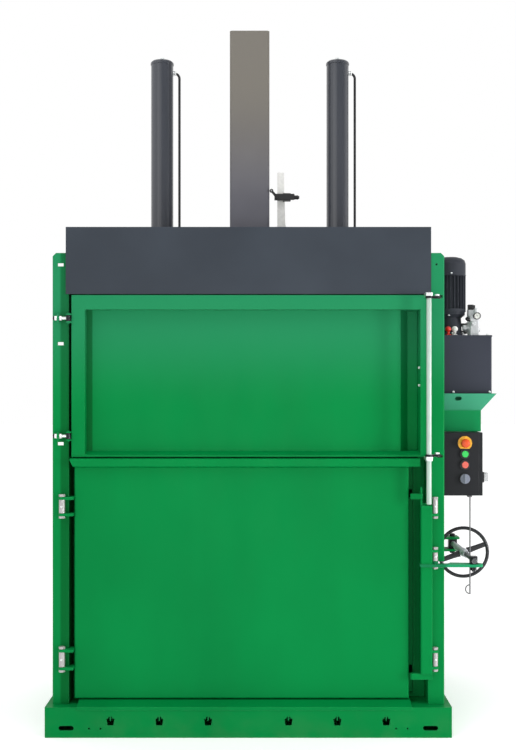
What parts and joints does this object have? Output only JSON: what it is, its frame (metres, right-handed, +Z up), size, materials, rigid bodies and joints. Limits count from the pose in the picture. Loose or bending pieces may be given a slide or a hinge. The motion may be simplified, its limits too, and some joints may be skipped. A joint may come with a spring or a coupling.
{
  "type": "recycling baler",
  "caption": "Upright recycling baler with a side-hung upper gate, a lower bale door locked by a hand wheel, twin press cylinders and a side-mounted power unit.",
  "frame": {"origin": "centre of the base's underside, in the middle of the four floor-anchor holes", "axes": "+Z up, -Y towards the doors at the front, +X towards the power unit"},
  "size_m": [2.019, 1.166, 3.234],
  "materials": {
    "green_paint": "semi gloss",
    "grey_paint": "semi gloss",
    "black_paint": "satin",
    "bright_steel": "bright",
    "polished_bar": "polished",
    "pad_plastic": "matte",
    "black_tube": "satin",
    "white_paint": "matte",
    "black_plastic": "satin",
    "yellow_plastic": "gloss",
    "red_plastic": "gloss",
    "green_plastic": "gloss",
    "grey_plastic": "satin",
    "gauge_face": "gloss",
    "dark_steel": "satin"
  },
  "bodies": {
    "machine": {"base_frame": "green_paint", "chamber_floor": "green_paint", "side_walls": "green_paint", "rear_wall": "green_paint", "wall_ribs": "green_paint", "left_column": "green_paint", "right_column": "green_paint", "front_header": "green_paint", "cross_head": "green_paint", "spindle_anchor": "green_paint", "power_tray": "green_paint", "top_cover": "grey_paint", "barrels": "grey_paint", "oil_tank": "black_paint", "fan_cover": "black_paint", "motor_body": "black_paint", "pump_bell": "black_paint", "control_box": "black_paint", "control_lid": "black_paint", "hinge_knuckles": "bright_steel", "gate_eye_bolts": "bright_steel", "strap_needle": "bright_steel", "trunnion_nut": "dark_steel", "valve_block": "dark_steel", "guide_pads": "pad_plastic", "feed_pipes": "black_tube", "cylinder_pipes": "black_tube", "switch_bracket": "white_paint", "switch_body": "black_plastic", "valve_solenoid": "black_plastic", "switch_plate": "black_plastic", "button_rings": "yellow_plastic", "tank_caps": "red_plastic", "pressure_gauge": "gauge_face"},
    "press": {"press_plate": "green_paint", "guide_column": "grey_paint", "piston_rods": "polished_bar"},
    "gate": {"gate_frame": "green_paint", "gate_panel": "green_paint", "gate_liner": "green_paint", "gate_hinge_ears": "green_paint", "bar_guides": "green_paint"},
    "gate_lock": {"gate_lock_bar": "polished_bar", "lock_bar_cams": "dark_steel"},
    "door": {"door_front": "green_paint", "door_liner": "green_paint", "door_lip": "green_paint", "door_hinge_leaves": "green_paint"},
    "door_lock": {"lock_beam": "green_paint", "lock_claws": "green_paint", "lever_arm": "green_paint"},
    "carriage": {"swivel_block": "black_paint"},
    "wheel": {"screw_spindle": "bright_steel", "hand_wheel": "black_paint"},
    "limit_lever": {"switch_lever": "black_plastic"},
    "stop": {"stop_button": "red_plastic"},
    "start": {"start_button": "green_plastic"},
    "reset": {"reset_button": "red_plastic"},
    "mode": {"mode_switch": "grey_plastic"},
    "main": {"main_switch": "grey_plastic"}
  },
  "joints": [
    {"name": "press_slide", "type": "slide", "parent": "machine", "child": "press", "axis": [0, 0, -1], "range_m": [0, 0.9]},
    {"name": "gate_hinge", "type": "hinge", "parent": "machine", "child": "gate", "pos_m": [-0.79, -0.5345, 0], "axis": [0, 0, 1], "range_deg": [-130, 0]},
    {"name": "gate_lock_turn", "type": "hinge", "parent": "gate", "child": "gate_lock", "pos_m": [0.786, -0.575, 0], "axis": [0, 0, 1], "range_deg": [-90, 0]},
    {"name": "door_hinge", "type": "hinge", "parent": "machine", "child": "door", "pos_m": [-0.817, -0.54, 0], "axis": [0, 0, 1], "range_deg": [-170, 0]},
    {"name": "lock_beam_hinge", "type": "hinge", "parent": "machine", "child": "door_lock", "pos_m": [0.819, -0.54, 0], "axis": [0, 0, 1], "range_deg": [0, 25.1]},
    {"name": "spindle_slide", "type": "slide", "parent": "machine", "child": "carriage", "axis": [0, 1, 0], "range_m": [0, 0.0766]},
    {"name": "hand_wheel_turn", "type": "hinge", "parent": "carriage", "child": "wheel", "pos_m": [0.986, -0.299, 0.767], "axis": [0, 1, 0], "range_deg": [0, 2748]},
    {"name": "limit_switch_lever", "type": "hinge", "parent": "machine", "child": "limit_lever", "pos_m": [0.129, -0.094, 2.438], "axis": [0, 1, 0], "range_deg": [0, 25], "stiffness_Nm_per_rad": 0.05},
    {"name": "stop_push", "type": "slide", "parent": "machine", "child": "stop", "axis": [0, 1, 0], "range_m": [0, 0.005], "stiffness_N_per_m": 400},
    {"name": "start_push", "type": "slide", "parent": "machine", "child": "start", "axis": [0, 1, 0], "range_m": [0, 0.0035], "stiffness_N_per_m": 300},
    {"name": "reset_push", "type": "slide", "parent": "machine", "child": "reset", "axis": [0, 1, 0], "range_m": [0, 0.0035], "stiffness_N_per_m": 300},
    {"name": "mode_turn", "type": "hinge", "parent": "machine", "child": "mode", "pos_m": [0.979, -0.375, 1.111], "axis": [0, 1, 0], "range_deg": [-45, 45]},
    {"name": "main_switch_turn", "type": "hinge", "parent": "machine", "child": "main", "pos_m": [1.06, -0.315, 1.114], "axis": [1, 0, 0], "range_deg": [0, 90]}
  ],
  "couplings": [
    {"joint": "lock_beam_hinge", "follows": "hand_wheel_turn", "ratio": 0.0090946},
    {"joint": "spindle_slide", "follows": "hand_wheel_turn", "m_per_rad": 0.0015915}
  ]
}
